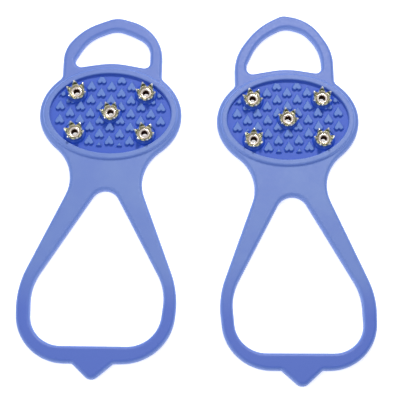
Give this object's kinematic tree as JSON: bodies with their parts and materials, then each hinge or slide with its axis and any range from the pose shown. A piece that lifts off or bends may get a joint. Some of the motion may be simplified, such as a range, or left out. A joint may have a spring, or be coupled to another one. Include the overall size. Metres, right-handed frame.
{
  "type": "shoe ice cleats",
  "caption": "Pair of stretch-on rubber ice cleats: studded oval tread, hooked toe loop and long heel loop with a pull tab, lying studs up.",
  "frame": {"origin": "centre of the pair's footprint, on the surface that the flat backs lie on", "axes": "+X across the shoes to the right cleat, +Y towards the toes, +Z out of the studs"},
  "size_m": [0.1858, 0.2056, 0.0094],
  "materials": {
    "elastomer": "satin, moulded",
    "crown_steel": "bright zinc plate, pressed",
    "rivet_steel": "nickel plate, rolled lip",
    "washer_steel": "zinc plate"
  },
  "bodies": {
    "left_tread": {"left_tread": "elastomer", "left_front_left_crown": "crown_steel", "left_front_left_rivet": "rivet_steel", "left_front_left_washer": "washer_steel", "left_front_right_crown": "crown_steel", "left_front_right_rivet": "rivet_steel", "left_front_right_washer": "washer_steel", "left_centre_crown": "crown_steel", "left_centre_rivet": "rivet_steel", "left_centre_washer": "washer_steel", "left_rear_left_crown": "crown_steel", "left_rear_left_rivet": "rivet_steel", "left_rear_left_washer": "washer_steel", "left_rear_right_crown": "crown_steel", "left_rear_right_rivet": "rivet_steel", "left_rear_right_washer": "washer_steel"},
    "left_toe_loop": {"left_toe_loop": "elastomer"},
    "left_heel_arms": {"left_heel_arms": "elastomer"},
    "left_heel_bow": {"left_heel_bow": "elastomer"},
    "right_tread": {"right_tread": "elastomer", "right_front_left_crown": "crown_steel", "right_front_left_rivet": "rivet_steel", "right_front_left_washer": "washer_steel", "right_front_right_crown": "crown_steel", "right_front_right_rivet": "rivet_steel", "right_front_right_washer": "washer_steel", "right_centre_crown": "crown_steel", "right_centre_rivet": "rivet_steel", "right_centre_washer": "washer_steel", "right_rear_left_crown": "crown_steel", "right_rear_left_rivet": "rivet_steel", "right_rear_left_washer": "washer_steel", "right_rear_right_crown": "crown_steel", "right_rear_right_rivet": "rivet_steel", "right_rear_right_washer": "washer_steel"},
    "right_toe_loop": {"right_toe_loop": "elastomer"},
    "right_heel_arms": {"right_heel_arms": "elastomer"},
    "right_heel_bow": {"right_heel_bow": "elastomer"}
  },
  "joints": [
    {"name": "left_toe_flex", "type": "hinge", "parent": "left_tread", "child": "left_toe_loop", "pos_m": [-0.04551, 0.07742, 0.002], "axis": [0.9997, -0.0227, 0], "range_deg": [-100, 70], "stiffness_Nm_per_rad": 0.02},
    {"name": "left_heel_flex", "type": "hinge", "parent": "left_tread", "child": "left_heel_arms", "pos_m": [-0.04712, 0.00644, 0.002], "axis": [0.9997, -0.0227, 0], "range_deg": [-70, 100], "stiffness_Nm_per_rad": 0.05},
    {"name": "left_heel_stretch", "type": "slide", "parent": "left_heel_arms", "child": "left_heel_bow", "axis": [-0.0227, -0.9997, 0], "range_m": [0, 0.05], "stiffness_N_per_m": 800},
    {"name": "right_toe_flex", "type": "hinge", "parent": "right_tread", "child": "right_toe_loop", "pos_m": [0.0487, 0.07382, 0.002], "axis": [0.9999, 0.014, 0], "range_deg": [-100, 70], "stiffness_Nm_per_rad": 0.02},
    {"name": "right_heel_flex", "type": "hinge", "parent": "right_tread", "child": "right_heel_arms", "pos_m": [0.04969, 0.00282, 0.002], "axis": [0.9999, 0.014, 0], "range_deg": [-70, 100], "stiffness_Nm_per_rad": 0.05},
    {"name": "right_heel_stretch", "type": "slide", "parent": "right_heel_arms", "child": "right_heel_bow", "axis": [0.014, -0.9999, 0], "range_m": [0, 0.05], "stiffness_N_per_m": 800},
    {"name": "pair_apart", "type": "slide", "parent": "left_tread", "child": "right_tread", "axis": [0, 0, 1], "range_m": [0, 0.06]}
  ]
}
